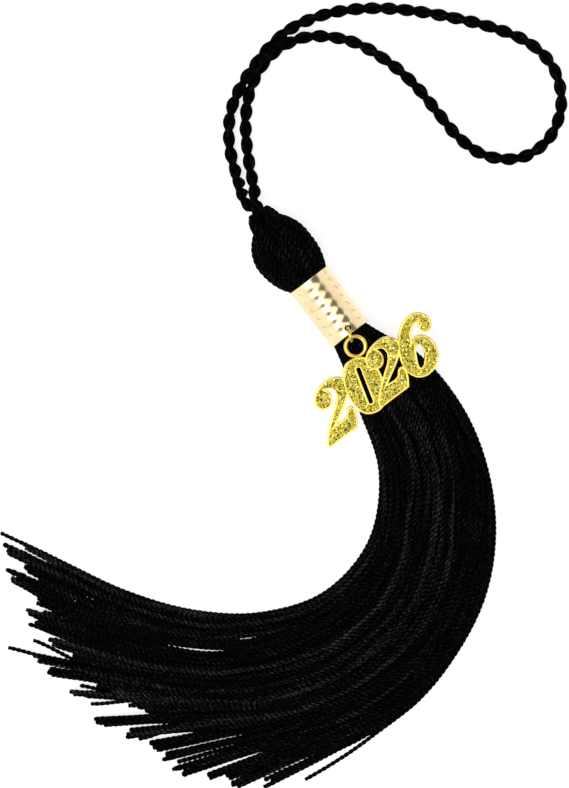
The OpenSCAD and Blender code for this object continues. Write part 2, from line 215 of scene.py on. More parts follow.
@dataclass(frozen=True)
class Yarn:
    """A twisted yarn, whose plies show as lobes that turn along it. Sizes are in millimetres.

    Args:
        radius: outside radius.
        plies: number of plies that show.
        groove: how far the grooves between plies go in, as a share of the radius.
        turn: length of one full turn of the plies.
        step: distance between rings.
        sides: points in a ring.
    """

    radius: float = 0.65
    plies: int = 2
    groove: float = 0.34
    turn: float = 3.1
    step: float = 0.4
    sides: int = 8

    def rings(self, routes: np.ndarray, radii: np.ndarray, phases: np.ndarray) -> np.ndarray:
        """Wraps each route in its rings.

        Args:
            routes: evenly spaced points, as routes by points by 3.
            radii: outside radius at each point of each route.
            phases: turn of the plies at the start of each route.

        Returns:
            Points, as routes by rings by sides by 3.
        """
        side, up = cross_frames(routes)
        steps = np.linalg.norm(np.diff(routes, axis=1), axis=2)
        far = np.concatenate([np.zeros((len(routes), 1)), np.cumsum(steps, axis=1)], axis=1)
        round_it = np.arange(self.sides) / self.sides * TURN
        bulge = 1 - self.groove * (1 - np.abs(np.cos(round_it * self.plies / 2)))
        angle = (far / self.turn * TURN + phases[:, None])[..., None] + round_it
        reach = radii[..., None] * bulge
        return (routes[:, :, None]
                + (reach * np.cos(angle))[..., None] * side[:, :, None]
                + (reach * np.sin(angle))[..., None] * up[:, :, None])


@dataclass
class YarnPiece:
    """Yarns swept along routes as one mesh, with a UV map along and round each yarn.

    Args:
        name: name of the piece.
        place: where the drawing goes.
        yarn: how the yarns are twisted.
        end_share: share of the radius that is left at both ends.
    """

    name: str
    place: Place
    yarn: Yarn
    end_share: float = 0.72

    def make(self, routes: list, radii: list | None = None,
             rng: np.random.Generator | None = None) -> bpy.types.Object:
        """Sweeps the yarns and makes the mesh object.

        Args:
            routes: one array of points in millimetres for each yarn.
            radii: shares of the yarn's radius at each point of each route, or None for all 1.
            rng: source of the turn and the tone of each yarn.

        Returns:
            The object, at the origin, with closed ends.
        """
        rng = rng or np.random.default_rng(SEED)
        count = int(max(lengths(r)[-1] for r in routes) / self.yarn.step) + 2
        paths = np.stack([even(r, count) for r in routes])
        share = np.ones((len(routes), count))
        if radii is not None:
            for i, (route, radius) in enumerate(zip(routes, radii)):
                far = lengths(route)
                share[i] = np.interp(np.linspace(0, far[-1], count), far, radius)
        share[:, -1] *= self.end_share
        share[:, 0] *= self.end_share
        phases = rng.uniform(0, TURN, len(routes))
        rings = self.yarn.rings(paths, share * self.yarn.radius, phases)
        far = np.stack([lengths(p) for p in paths])
        return self._mesh(rings, far, rng.uniform(0, 1, len(routes)))

    def _mesh(self, rings: np.ndarray, far: np.ndarray, tone: np.ndarray) -> bpy.types.Object:
        """Joins the rings with faces.

        Args:
            rings: points, as yarns by rings by sides by 3.
            far: distance along at each ring of each yarn.
            tone: tone of each yarn.

        Returns:
            The new object.
        """
        count, rows, sides, _ = rings.shape
        i, k = np.meshgrid(np.arange(rows - 1), np.arange(sides), indexing="ij")
        j = (k + 1) % sides
        walls = np.stack([i * sides + k, i * sides + j, (i + 1) * sides + j,
                          (i + 1) * sides + k], axis=-1).reshape(-1)
        first, last = rows * sides, rows * sides + 1
        k = np.arange(sides)
        j = (k + 1) % sides
        top = (rows - 1) * sides
        caps = np.concatenate([np.stack([j, k, np.full(sides, first)], axis=1).reshape(-1),
                               np.stack([top + k, top + j, np.full(sides, last)],
                                        axis=1).reshape(-1)])
        quads = (rows - 1) * sides
        v = np.tile(np.array([0, 1, 1, 0.0]), quads) / sides
        v += np.repeat(np.tile(np.arange(sides), rows - 1), 4) / sides
        steps = np.stack([i, i, i + 1, i + 1], axis=-1).reshape(-1)
        points, corners, uvs = [], [], []
        for n in range(count):
            base = n * (last + 1)
            points += [rings[n].reshape(-1, 3), rings[n][0].mean(0)[None],
                       rings[n][-1].mean(0)[None]]
            corners += [walls + base, caps + base]
            ends = np.repeat([far[n][0], far[n][-1]], 3 * sides)
            uvs += [np.stack([far[n][steps], v], axis=1), np.stack([ends, ends * 0], axis=1)]
        sizes = np.tile(np.concatenate([np.full(quads, 4), np.full(2 * sides, 3)]), count)
        return self._object(self.place.put(np.concatenate(points)), np.concatenate(corners),
                            sizes, np.concatenate(uvs), np.repeat(tone, last + 1))

    def _object(self, points: np.ndarray, corners: np.ndarray, sizes: np.ndarray,
                uvs: np.ndarray, tones: np.ndarray) -> bpy.types.Object:
        """Fills a mesh from its arrays.

        Args:
            points: places of the vertices, in metres.
            corners: vertex of each corner.
            sizes: corners of each face.
            uvs: map place of each corner.
            tones: tone of the yarn at each vertex.

        Returns:
            The new object.
        """
        mesh = bpy.data.meshes.new(self.name)
        mesh.vertices.add(len(points))
        mesh.vertices.foreach_set("co", points.astype(np.float32).reshape(-1))
        mesh.loops.add(len(corners))
        mesh.loops.foreach_set("vertex_index", corners.astype(np.int32))
        mesh.polygons.add(len(sizes))
        starts = np.concatenate([[0], np.cumsum(sizes)[:-1]])
        mesh.polygons.foreach_set("loop_start", starts.astype(np.int32))
        mesh.polygons.foreach_set("use_smooth", np.ones(len(sizes), bool))
        mesh.update(calc_edges=True)
        layer = mesh.uv_layers.new(name="yarn")
        layer.data.foreach_set("uv", uvs.astype(np.float32).reshape(-1))
        tone = mesh.attributes.new("tone", "FLOAT", "POINT")
        tone.data.foreach_set("value", tones.astype(np.float32))
        mesh.validate()
        return show(self.name, mesh)


# ---------------------------------------------------------------- shader graph

def operator(operation: str, number_first: bool = False) -> Callable:
    """Makes an operator of Value.

    Args:
        operation: what its Math node does.
        number_first: whether the other value goes in first.

    Returns:
        The method.
    """
    def apply(value: "Value", other: "Value | float") -> "Value":
        """Adds the Math node."""
        pair = (other, value) if number_first else (value, other)
        return value.math(operation, *pair)

    return apply


class Value:
    """A number in a material. Operators on it add Math nodes."""

    def __init__(self, graph: "Graph", socket: bpy.types.NodeSocket) -> None:
        """Wraps a socket of a graph."""
        self.graph = graph
        self.socket = socket

    def math(self, operation: str, *values: "Value | float") -> "Value":
        """Adds a Math node.

        Args:
            operation: what the node does.
            values: what goes into it.

        Returns:
            Its result.
        """
        made = self.graph.node("Math", {"operation": operation}, dict(enumerate(values)))
        return Value(self.graph, made.outputs[0])

    __add__ = operator("ADD")
    __radd__ = operator("ADD", True)
    __rsub__ = operator("SUBTRACT", True)
    __mul__ = operator("MULTIPLY")
    __rmul__ = operator("MULTIPLY", True)
    __pow__ = operator("POWER")

    def __abs__(self) -> "Value":
        """The size without its sign."""
        return self.math("ABSOLUTE", self)

    def cos(self) -> "Value":
        """The cosine."""
        return self.math("COSINE", self)


class Graph:
    """The nodes of one material."""

    def __init__(self, name: str) -> None:
        """Starts an empty material.

        Args:
            name: name of the material.
        """
        self.material = bpy.data.materials.new(name)
        self.material.use_nodes = True
        self.tree = self.material.node_tree
        self.tree.nodes.clear()

    def node(self, kind: str, settings: dict | None = None,
             inputs: dict | None = None) -> bpy.types.Node:
        """Adds a node.

        Args:
            kind: type of the node.
            settings: its own settings, set first. "stops" fills a ramp.
            inputs: values or links for its sockets, by name or number.

        Returns:
            The node.
        """
        made = self.tree.nodes.new("ShaderNode" + kind)
        for key, value in (settings or {}).items():
            if key == "stops":
                self._fill_ramp(made.color_ramp, value)
            else:
                setattr(made, key, value)
        for key, value in (inputs or {}).items():
            if isinstance(value, Value):
                self.tree.links.new(value.socket, made.inputs[key])
            else:
                made.inputs[key].default_value = value
        return made

    @staticmethod
    def _fill_ramp(ramp: bpy.types.ColorRamp, stops: list) -> None:
        """Gives a ramp its stops, each a position and a colour."""
        while len(ramp.elements) < len(stops):
            ramp.elements.new(1)
        for element, (position, colour) in zip(ramp.elements, stops):
            element.position = position
            element.color = (*colour, 1)

    def value(self, kind: str, output: str | int, settings: dict | None = None,
              inputs: dict | None = None) -> Value:
        """Adds a node and takes one of its outputs.

        Args:
            kind: type of the node.
            output: name or number of the output.
            settings: its own settings.
            inputs: values or links for its sockets.

        Returns:
            The output.
        """
        return Value(self, self.node(kind, settings, inputs).outputs[output])

    def noise(self, vector: Value, scale: float, detail: float = 2.0,
              roughness: float = 0.5) -> Value:
        """Adds a noise texture over a place."""
        return self.value("TexNoise", 0, inputs={"Vector": vector, "Scale": scale,
                                                 "Detail": detail, "Roughness": roughness})

    def blend(self, a: tuple, b: tuple, share: Value) -> Value:
        """Mixes two colours by a share."""
        return self.value("Mix", 2, {"data_type": "RGBA"}, {0: share, 6: (*a, 1), 7: (*b, 1)})

    def finish(self, sockets: dict) -> bpy.types.Material:
        """Adds the surface shader.

        Args:
            sockets: values or links for its sockets.

        Returns:
            The finished material.
        """
        shader = self.value("BsdfPrincipled", 0, inputs=sockets)
        self.node("OutputMaterial", inputs={"Surface": shader})
        return self.material


# ---------------------------------------------------------------- finishes

Colour = tuple[float, float, float]


@dataclass(frozen=True)
class YarnFinish:
    """Satin yarn with fine fibres, whose colour holds painted light: painted highlights and glints
    on the crests of its plies, and painted shade in the grooves between them.

    Args:
        name: name of the material.
        deep: the yarn's own near-black, left as painted shade in the grooves and wherever no
            painted highlight falls.
        crest: colour of the painted highlights on the crests.
        plies: number of plies round the yarn.
        fibres: number of fibre streaks round the yarn.
        slant: turns of the fibres for each millimetre.
        roughness: roughness of the crests.
        gloss: strength of the reflections.
        plain: strength of the painted highlights on an ordinary yarn.
        light: how much stronger the painted highlights on the lightest yarns are.
        glint_gain: how sharply the painted glints on the brightest fibres stand out.
        glint_start: what the painted glints are lowered by.
        glint_least: strength of the painted glint on the dullest fibres.
    """

    name: str
    deep: Colour = (0.0003, 0.0003, 0.0004)
    crest: Colour = (0.046, 0.046, 0.047)
    plies: int = 2
    fibres: float = 18
    slant: float = 0.27
    roughness: float = 0.45
    gloss: float = 0.008
    plain: float = 0.3
    light: float = 3.2
    glint_gain: float = 9.0
    glint_start: float = -4.7
    glint_least: float = 0.03

    def material(self) -> bpy.types.Material:
        """Builds the material from the yarn's own map."""
        g = Graph(self.name)
        uv = g.value("UVMap", 0, {"uv_map": "yarn"})
        split = g.node("SeparateXYZ", inputs={0: uv})
        far, round_it = Value(g, split.outputs[0]), Value(g, split.outputs[1])
        tone = g.value("Attribute", "Fac", {"attribute_name": "tone"})
        # crest is 1 on the crests of the plies and 0 in the grooves; it places the painted
        # highlights and leaves painted shade in the grooves.
        crest = abs((round_it * (math.pi * self.plies)).cos())
        streaks = g.value("CombineXYZ", 0, inputs={
            0: far * 1.1, 1: (round_it + far * self.slant) * self.fibres, 2: tone * 90})
        fibre = g.noise(streaks, 1.0, 3.0, 0.6)
        patches = g.value("CombineXYZ", 0, inputs={0: far * 0.08, 1: tone * 40, 2: tone * 7})
        patch = g.noise(patches, 1.0)
        # Painted glints: only the brightest fibre streaks light up.
        glint = fibre.math("MULTIPLY_ADD", fibre, self.glint_gain, self.glint_start)
        glint = glint.math("MAXIMUM", glint, self.glint_least)
        # Painted highlight strength: stronger on some yarns at random, and coming and going in slow
        # patches along each yarn.
        strand = tone ** 8 * self.light + self.plain
        light = crest ** 2 * glint * strand * (patch ** 2 * 4.4)
        bump = g.value("Bump", 0, inputs={"Strength": 0.5, "Distance": 0.00006,
                                          "Height": fibre + crest * 0.6})
        # Base colour: the yarn's own near-black mixed with the painted highlight colour by the
        # painted highlight share.
        return g.finish({"Base Color": g.blend(self.deep, self.crest, light),
                         "Roughness": self.roughness + 0.32 - 0.4 * fibre * crest,
                         "Normal": bump, "Specular IOR Level": self.gloss})


@dataclass(frozen=True)
class InnerYarnFinish:
    """Bundled yarn inside the head and the neck, streaked along the band.

    Args:
        name: name of the material.
        deep: colour between the fibres.
        crest: colour of the fibres.
    """

    name: str
    deep: Colour = (0.0005, 0.0005, 0.0005)
    crest: Colour = (0.012, 0.012, 0.013)

    def material(self) -> bpy.types.Material:
        """Builds the material on object coordinates."""
        g = Graph(self.name)
        place = g.value("TexCoord", "Object")
        stretched = g.value("Mapping", 0, inputs={"Vector": place, "Scale": (1.0, 0.15, 1.0)})
        fibre = g.noise(stretched, 2200.0, 3.0)
        wide = g.noise(place, 300.0)
        bump = g.value("Bump", 0, inputs={"Strength": 0.7, "Distance": 0.0002, "Height": fibre})
        return g.finish({"Base Color": g.blend(self.deep, self.crest, fibre * wide * 2),
                         "Roughness": 0.5 + 0.3 * fibre, "Normal": bump,
                         "Specular IOR Level": 0.03})


@dataclass(frozen=True)
class MetalFinish:
    """Polished plated metal with faint polishing marks and a few duller patches.

    Args:
        name: name of the material.
        bright: colour of the plating.
        dull: colour where it is duller.
        roughness: roughness of the polish.
        marks: number of polishing marks in a metre.
        depth: height of the unevenness, in metres.
    """

    name: str
    bright: Colour
    dull: Colour
    roughness: float = 0.12
    marks: float = 1500
    depth: float = 0.00001

    def material(self) -> bpy.types.Material:
        """Builds the material on object coordinates."""
        g = Graph(self.name)
        place = g.value("TexCoord", "Object")
        drawn = g.value("Mapping", 0, inputs={"Vector": place, "Scale": (1.0, 0.12, 1.0)})
        mark = g.noise(drawn, self.marks, 4.0, 0.65)
        patch = g.noise(place, 210.0, 3.0)
        worn = patch.math("MULTIPLY_ADD", patch, 3.0, -1.1)
        worn = worn.math("MAXIMUM", worn, 0.0)
        worn = worn.math("MINIMUM", worn, 1.0)
        bump = g.value("Bump", 0, inputs={"Strength": 0.35, "Distance": self.depth,
                                          "Height": mark + patch * 2})
        return g.finish({"Base Color": g.blend(self.bright, self.dull, worn * 0.6 + mark * 0.3),
                         "Metallic": 1.0, "Roughness": self.roughness + 0.1 * mark + 0.08 * worn,
                         "Normal": bump})


@dataclass(frozen=True)
class GlitterFinish:
    """Glitter: small metallic grains, each with its own colour and tilt.

    Args:
        name: name of the material.
        grains: number of grains in a metre.
        tilt: how far the grains lean.
        stops: colours of the grains, from the darkest.
    """

    name: str
    grains: float = 2300
    tilt: float = 0.8
    stops: tuple = ((0.0, (0.03, 0.024, 0.001)), (0.35, (0.32, 0.25, 0.015)),
                    (0.7, (0.8, 0.66, 0.07)), (1.0, (1.0, 0.93, 0.36)))

    def material(self) -> bpy.types.Material:
        """Builds the material on object coordinates."""
        g = Graph(self.name)
        place = g.value("TexCoord", "Object")
        grain = g.value("TexVoronoi", "Color", inputs={"Vector": place, "Scale": self.grains})
        shade = g.value("SeparateColor", 0, inputs={0: grain})
        colour = g.value("ValToRGB", 0, {"stops": list(self.stops)}, {0: shade})
        lean = g.value("VectorMath", 0, {"operation": "SUBTRACT"},
                       {0: grain, 1: (0.5, 0.5, 0.5)})
        lean = g.value("VectorMath", 0, {"operation": "SCALE"}, {0: lean, "Scale": self.tilt})
        face = g.value("NewGeometry", "Normal")
        leaned = g.value("VectorMath", 0, {"operation": "ADD"}, {0: face, 1: lean})
        normal = g.value("VectorMath", 0, {"operation": "NORMALIZE"}, {0: leaned})
        return g.finish({"Base Color": colour, "Metallic": 0.85,
                         "Roughness": 0.22 + 0.3 * shade, "Normal": normal})


@dataclass(frozen=True)
class FlakeFinish:
    """Loose flakes of glitter on top, coloured one by one.

    Args:
        name: name of the material.
        stops: colours of the flakes, from the darkest.
    """

    name: str
    stops: tuple = ((0.0, (0.1, 0.078, 0.005)), (0.3, (0.46, 0.37, 0.03)),
                    (0.6, (0.97, 0.82, 0.1)), (1.0, (1.0, 0.97, 0.48)))

    def material(self) -> bpy.types.Material:
        """Builds the material on the flakes' own tone."""
        g = Graph(self.name)
        tone = g.value("Attribute", "Fac", {"attribute_name": "tone"})
        place = g.value("TexCoord", "Object")
        grit = g.noise(place, 9000.0)
        colour = g.value("ValToRGB", 0, {"stops": list(self.stops)}, {0: tone})
        return g.finish({"Base Color": colour, "Metallic": 0.9,
                         "Roughness": 0.14 + 0.22 * grit})


@dataclass(frozen=True)
class TableFinish:
    """Plain pale table top with a barely uneven surface.

    Args:
        name: name of the material.
        pale: main colour.
        shade: colour of the faint mottling.
        glow: brightness of the light that comes up through it.
    """

    name: str
    pale: Colour = (0.42, 0.42, 0.42)
    shade: Colour = (0.4, 0.4, 0.402)
    glow: float = 0.72

    def material(self) -> bpy.types.Material:
        """Builds the material on object coordinates."""
        g = Graph(self.name)
        place = g.value("TexCoord", "Object")
        mottle = g.noise(place, 30.0, 4.0)
        return g.finish({"Base Color": g.blend(self.pale, self.shade, mottle),
                         "Roughness": 0.7 + 0.1 * mottle,
                         "Emission Color": (1, 1, 1, 1), "Emission Strength": self.glow})


class Finishes:
    """All the finishes of the tassel."""

    def __init__(self) -> None:
        """Builds each material once."""
        self.yarn = YarnFinish("black_yarn").material()
        self.head = YarnFinish("black_head_yarn", plain=0.38, light=0.3).material()
        self.cord = YarnFinish("black_cord", plies=3, fibres=26, slant=0.1,
                               light=0.4).material()
        self.inner = InnerYarnFinish("inner_yarn").material()
        self.band = MetalFinish("pale_gold_band", (0.95, 0.8, 0.52), (0.82, 0.63, 0.34),
                                roughness=0.14).material()
        self.charm = MetalFinish("gold_rim", (0.85, 0.66, 0.15), (0.7, 0.5, 0.08),
                                 roughness=0.2, marks=2500).material()
        self.link = MetalFinish("gold_wire", (0.84, 0.6, 0.2), (0.66, 0.44, 0.12),
                                roughness=0.18).material()
        self.glitter = GlitterFinish("gold_glitter").material()
        self.flakes = FlakeFinish("gold_flakes").material()


# ---------------------------------------------------------------- bench

class Bench:
    """Modelling steps shared by the pieces that are shaped by hand."""

    @staticmethod
    def clear() -> None:
        """Deselects everything."""
        bpy.ops.object.select_all(action="DESELECT")

    @staticmethod
    def take(piece: bpy.types.Object) -> None:
        """Makes a piece the only selected one."""
        Bench.clear()
        piece.select_set(True)
        bpy.context.view_layer.objects.active = piece

    @staticmethod
    def settle(piece: bpy.types.Object) -> None:
        """Puts the piece's place into its mesh."""
        Bench.take(piece)
        bpy.ops.object.transform_apply(location=True, rotation=True, scale=True)

    @staticmethod
    def modify(piece: bpy.types.Object, kind: str, **settings: object) -> None:
        """Adds a modifier and applies it.

        Args:
            piece: the piece.
            kind: type of the modifier.
            settings: its settings.
        """
        Bench.take(piece)
        modifier = piece.modifiers.new(kind.lower(), kind)
        for key, value in settings.items():
            setattr(modifier, key, value)
        bpy.ops.object.modifier_apply(modifier=modifier.name)

    @staticmethod
    def smooth(piece: bpy.types.Object, degrees: float = 35) -> None:
        """Shades a piece smooth, apart from edges sharper than an angle."""
        Bench.take(piece)
        bpy.ops.object.shade_smooth_by_angle(angle=math.radians(degrees))

    @staticmethod
    def turn(name: str, profile: list, centre: tuple, steps: int) -> bpy.types.Object:
        """Turns a closed profile round an axis along Y, as on a lathe.

        Args:
            name: name of the piece.
            profile: points as radius and distance along the axis, in metres.
            centre: a point on the axis, where the distance is 0.
            steps: number of steps in a full turn.

        Returns:
            The turned piece.
        """
        Bench.clear()
        bpy.ops.mesh.primitive_plane_add(size=MM)
        piece = bpy.context.active_object
        piece.name = name
        bpy.ops.object.mode_set(mode="EDIT")
        bpy.ops.mesh.select_all(action="SELECT")
        bpy.ops.mesh.merge(type="CENTER")
        start = (centre[0] + profile[0][0], centre[1] + profile[0][1], centre[2])
        bpy.ops.transform.translate(value=start)
        for before, after in zip(profile, profile[1:] + profile[:1]):
            step = (after[0] - before[0], after[1] - before[1], 0)
            bpy.ops.mesh.extrude_region_move(TRANSFORM_OT_translate={"value": step})
        bpy.ops.mesh.select_all(action="SELECT")
        bpy.ops.mesh.remove_doubles(threshold=MM / 1000)
        bpy.ops.mesh.select_all(action="SELECT")
        bpy.ops.mesh.spin(steps=steps, angle=TURN, center=centre, axis=(0, 1, 0))
        bpy.ops.mesh.select_all(action="SELECT")
        bpy.ops.mesh.remove_doubles(threshold=MM / 1000)
        bpy.ops.mesh.normals_make_consistent(inside=False)
        bpy.ops.object.mode_set(mode="OBJECT")
        return piece

    @staticmethod
    def copy_node(name: str, node: bpy.types.Object) -> bpy.types.Object:
        """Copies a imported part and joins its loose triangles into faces.

        Args:
            name: name of the copy.
            node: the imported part, which stays as it is.

        Returns:
            The copy, at the origin.
        """
        piece = show(name, node.data.copy())
        Bench.take(piece)
        bpy.ops.object.mode_set(mode="EDIT")
        bpy.ops.mesh.select_all(action="SELECT")
        bpy.ops.mesh.remove_doubles(threshold=MM / 1000)
        bpy.ops.mesh.dissolve_limited(angle_limit=math.radians(1.5))
        bpy.ops.object.mode_set(mode="OBJECT")
        return piece


def dress(piece: bpy.types.Object, material: bpy.types.Material) -> None:
    """Gives a piece its finish.

    Args:
        piece: the piece.
        material: its material.
    """
    piece.data.materials.clear()
    piece.data.materials.append(material)
    LOG.info("%s: %d faces, finish %s", piece.name, len(piece.data.polygons), material.name)


# ---------------------------------------------------------------- hanging loop

@dataclass
class HangingLoop:
    """The twisted cord that the tassel hangs by, and its knot. Sizes are in millimetres."""

    place: Place
    finishes: Finishes
    diameter: float = 3.6
    ply_radius: float = 1.0
    ply_offset: float = 0.88
    lay: float = 9.7
    knot_y: float = 43.0
    knot_size: float = 0.6
    knot_yarn: float = 1.0
    root: tuple = ((-0.3, 43.2, 9.8), (0.5, 43.2, 8.8))
    route: tuple = (
        (-0.6, 45.4, 11.2), (-1, 47.1, 12.4), (-0.8, 49.8, 11), (0.5, 53.4, 6.4), (2.2, 58, 2.7),
        (4.4, 63.2, 1.8), (7.6, 68.2, 1.8), (11.8, 72.6, 2), (17.2, 75.9, 3.3), (23.5, 78.2, 4.9),
        (30.5, 80.1, 5.3), (37.5, 80.9, 4.8), (44.4, 80.1, 2.9), (53.2, 77, 1.8),
        (62.2, 71.5, 1.8), (70.5, 64.5, 1.8), (78.6, 56, 1.8), (86.1, 46.8, 1.8), (91.9, 37.3, 1.8),
        (93.8, 28.5, 1.8), (92, 20.9, 1.8), (87, 14.3, 1.8), (79.1, 10.4, 1.8), (70.1, 11.3, 1.8),
        (62.7, 17.8, 1.8), (59.7, 26.4, 1.8), (59.1, 36, 1.8), (58.7, 45.5, 1.8),
        (56.7, 55.7, 1.8), (52.2, 66.6, 1.8), (44.6, 74.7, 1.8), (36.8, 78.1, 1.8), (28.8, 78, 1.8),
        (20.8, 74.7, 1.8), (14.2, 68.8, 1.8), (9.4, 62, 1.8), (5.8, 55.4, 2.3),
        (3.6, 50.6, 4.4), (1.6, 47.7, 6.2), (0.8, 45.6, 7.7))

    def build(self) -> None:
        """Builds the cord and the knot, and lets them ride on the loop's body."""
        whole = (self.root[0], *self.route, self.root[1])
        middle = even(along(whole, np.linspace(0, 1, 1600)), 640)
        self._cord(middle)
        self._knot()

    def _cord(self, middle: np.ndarray) -> None:
        """Args:
            middle: evenly spaced points of the middle line.
        """
        side, up = cross_frames(middle[None])
        angle = lengths(middle) / self.lay * TURN
        ply = Yarn(radius=self.ply_radius, plies=3, groove=0.2, turn=-13, step=0.5, sides=15)
        routes = []
        for half in (0, math.pi):
            out = (np.cos(angle + half)[:, None] * side[0]
                   + np.sin(angle + half)[:, None] * up[0])
            routes.append(middle + self.ply_offset * out)
        cord = YarnPiece("loop_rope", self.place, ply).make(routes)
        dress(cord, self.finishes.cord)
        path = self.place.put(middle)
        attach(cord, Body.LOOP.value)
        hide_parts("loop_cord")
        self.diameter * MM

    def _knot(self) -> None:
        """Ties the overhand knot that sits in the collar."""
        t = np.linspace(0, TURN, 120)
        knot = np.stack([np.sin(t) + 2 * np.sin(2 * t), -np.sin(3 * t),
                         np.cos(t) - 2 * np.cos(2 * t)], axis=1) * self.knot_size
        knot += [0, self.knot_y, self.place.axis]
        yarn = Yarn(radius=self.knot_yarn, plies=3, groove=0.2, turn=9, step=0.3, sides=12)
        tied = YarnPiece("loop_overhand_knot", self.place, yarn).make([knot])
        dress(tied, self.finishes.cord)
        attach(tied, Body.LOOP.value)
        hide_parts("loop_knot")


# ---------------------------------------------------------------- skirt

@dataclass(frozen=True)
class SkirtForm:
    """Outline and height of the skirt, in millimetres round the mouth.

    A place in it is u across, from -1 at the inner edge to 1 at the outer one, and f along, from
    0 at the mouth to 1 at the tips.
    """

    axis: float = 9.2
    inner_edge: tuple = (
        (-5.8, 0), (-10.4, -19.2), (-16.8, -37.4), (-31.2, -51.4), (-50.6, -55.6), (-69.4, -49.2),
        (-84.5, -37), (-96.5, -21.3), (-105.8, -4), (-114.5, 13.5))
    middle: tuple = (
        (0, 0), (0.5, -21), (-3.5, -42), (-16, -59), (-33, -71), (-53.5, -75), (-74, -71.5),
        (-92.5, -61), (-108.5, -47), (-124, -32))
    outer_edge: tuple = (
        (5.8, 0), (12.3, -18), (12.9, -37), (8, -55), (-1.5, -71.2), (-14.8, -83.8),
        (-31.5, -92), (-50, -96.3), (-69, -95), (-94, -90.5))
    bed: tuple = (
        (0, 11.5), (0.2, 10.4), (0.35, 9), (0.5, 8), (0.65, 6.8), (0.8, 5.2), (0.9, 4.2),
        (1, 3.4), (1.2, 3.2))
    mouth_top: float = 4.1
    mouth_bottom: float = 6.15
    run: float = 180

    def level(self, u: np.ndarray, f: np.ndarray) -> np.ndarray:
        """The place seen from above. A negative f goes straight into the band."""
        u = np.asarray(u, float)[..., None]
        inside = np.minimum(0, f)
        f = np.maximum(0, f)
        flat = (along(self.inner_edge, f) * u * (u - 1) / 2 + along(self.middle, f) * (1 - u * u)
                + along(self.outer_edge, f) * u * (u + 1) / 2)
        flat[..., 1] -= inside * self.run
        return flat

    def half_width(self, f: np.ndarray) -> np.ndarray:
        """Half of the distance between the two edges."""
        f = np.maximum(0, f)
        return np.linalg.norm(along(self.outer_edge, f) - along(self.inner_edge, f), axis=-1) / 2

    def heights(self, u: np.ndarray, f: np.ndarray) -> tuple[np.ndarray, np.ndarray]:
        """The lower and the upper surface at a place."""
        f = np.maximum(0, f)
        settled = smooth(f / 0.2)
        bed = np.array(self.bed)
        top = mix(self.axis + self.mouth_top, np.interp(f, bed[:, 0], bed[:, 1]), settled)
        low = mix(self.axis - self.mouth_bottom, 0, settled)
        half = (top - low) / 2
        crown = np.sqrt(np.maximum(0.04, 1 - np.abs(u) ** (2 + 2 * smooth(2 * f))))
        under = mix(low + half * (1 - crown), low, settled)
        return under, under + 2 * half * crown


@dataclass(frozen=True)
class Tip:
    """Where a clump of strands ends: its place across, its place along and its spread."""

    u: float
    f: float
    spread: float = 0.5


@dataclass(frozen=True)
class FreeStrand:
    """A strand that lies in a groove between the locks and turns to its own tip."""

    name: str
    groove: float
    tip_u: float
    tip_f: float
    lie: Lie
    leave: float = 0.92


